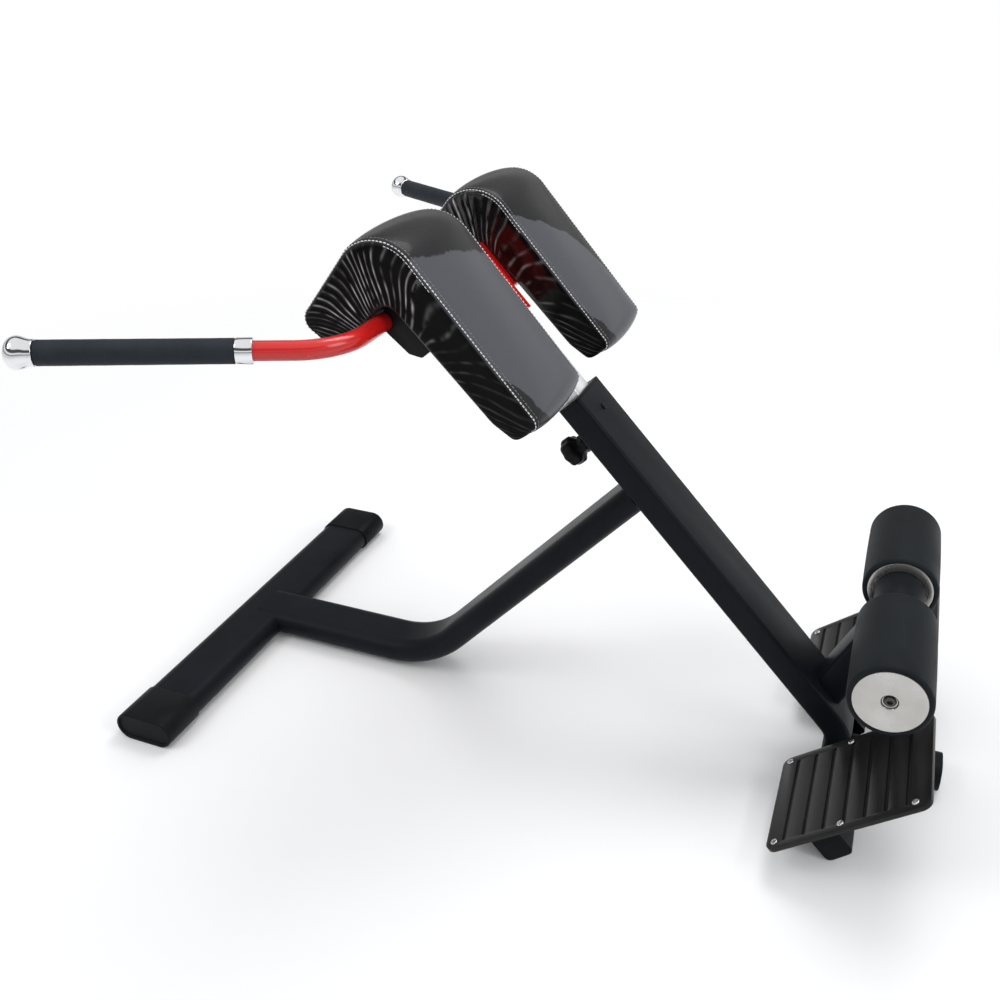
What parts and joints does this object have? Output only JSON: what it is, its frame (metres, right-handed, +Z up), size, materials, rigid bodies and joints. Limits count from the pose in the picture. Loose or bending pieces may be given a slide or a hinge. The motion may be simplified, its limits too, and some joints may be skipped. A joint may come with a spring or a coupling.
{
  "type": "back extension machine",
  "caption": "Inclined back extension bench with bent twin pads, a forward handlebar, foam ankle rollers and ribbed foot plates; the pad carriage slides in the beam.",
  "frame": {"origin": "on the floor, under the middle of the machine's overall box", "axes": "+X to the machine's side, +Y from the pads towards the foot plates, +Z up"},
  "size_m": [1.0692, 1.2766, 0.8567],
  "materials": {
    "frame_paint": "black powder coat, fine texture, satin",
    "boot_rubber": "moulded dark grey rubber, slightly shiny on the rim",
    "black_plastic": "moulded black nylon",
    "screw_steel": "zinc plated",
    "steel": "turned bright steel",
    "chrome": "polished chrome plate",
    "red_paint": "glossy red paint",
    "grip_rubber": "matte black rubber",
    "roller_foam": "matte closed-cell foam with a smooth skin",
    "pad_vinyl": "dark grey vinyl upholstery, glossy, with white stitching",
    "plywood": "plain plywood"
  },
  "bodies": {
    "frame": {"main_beam": "frame_paint", "front_stabilizer": "frame_paint", "spine_tube": "frame_paint", "tail_tube": "frame_paint", "rear_tube_left": "frame_paint", "rear_tube_right": "frame_paint", "foot_plate_left": "frame_paint", "foot_plate_right": "frame_paint", "plate_channel_left": "frame_paint", "plate_channel_right": "frame_paint", "roller_arm": "frame_paint", "roller_hub_tube": "frame_paint", "plunger_housing": "frame_paint", "front_boot_left": "boot_rubber", "front_boot_right": "boot_rubber", "rear_boot_left": "boot_rubber", "rear_boot_right": "boot_rubber", "tail_boot": "boot_rubber", "beam_bushing": "black_plastic", "tail_plug": "black_plastic", "hub_bushing_left": "black_plastic", "hub_bushing_right": "black_plastic", "bushing_screw": "screw_steel", "end_bolt_left": "screw_steel", "end_bolt_right": "screw_steel", "roller_axle": "steel"},
    "carriage": {"post": "chrome", "carriage_cross": "red_paint", "handlebar": "red_paint", "pad_bracket_left": "black_plastic", "pad_bracket_right": "black_plastic", "pad_board_left": "plywood", "pad_board_right": "plywood", "pad_left": "pad_vinyl", "pad_right": "pad_vinyl", "pad_bolt_left_1": "screw_steel", "pad_bolt_left_2": "screw_steel", "pad_bolt_right_1": "screw_steel", "pad_bolt_right_2": "screw_steel", "collar_left": "chrome", "collar_right": "chrome", "grip_left": "grip_rubber", "grip_right": "grip_rubber", "grip_cap_left": "chrome", "grip_cap_right": "chrome"},
    "plunger": {"plunger_pin": "steel", "plunger_knob": "black_plastic"},
    "roller_left": {"roller_core_left": "black_plastic", "roller_foam_left": "roller_foam", "roller_inner_disc_left": "chrome", "roller_outer_disc_left": "chrome"},
    "roller_right": {"roller_core_right": "black_plastic", "roller_foam_right": "roller_foam", "roller_inner_disc_right": "chrome", "roller_outer_disc_right": "chrome"}
  },
  "joints": [
    {"name": "carriage_slide", "type": "slide", "parent": "frame", "child": "carriage", "axis": [0, -0.6856, 0.728], "range_m": [-0.1, 0.15]},
    {"name": "plunger_pull", "type": "slide", "parent": "frame", "child": "plunger", "axis": [0, -0.728, -0.6856], "range_m": [0, 0.012], "stiffness_N_per_m": 600, "springref_m": -0.006},
    {"name": "roller_left_spin", "type": "hinge", "parent": "frame", "child": "roller_left", "pos_m": [-0.13875, 0.52903, 0.30735], "axis": [1, 0, 0], "continuous": true},
    {"name": "roller_right_spin", "type": "hinge", "parent": "frame", "child": "roller_right", "pos_m": [0.13875, 0.52903, 0.30735], "axis": [1, 0, 0], "continuous": true}
  ]
}
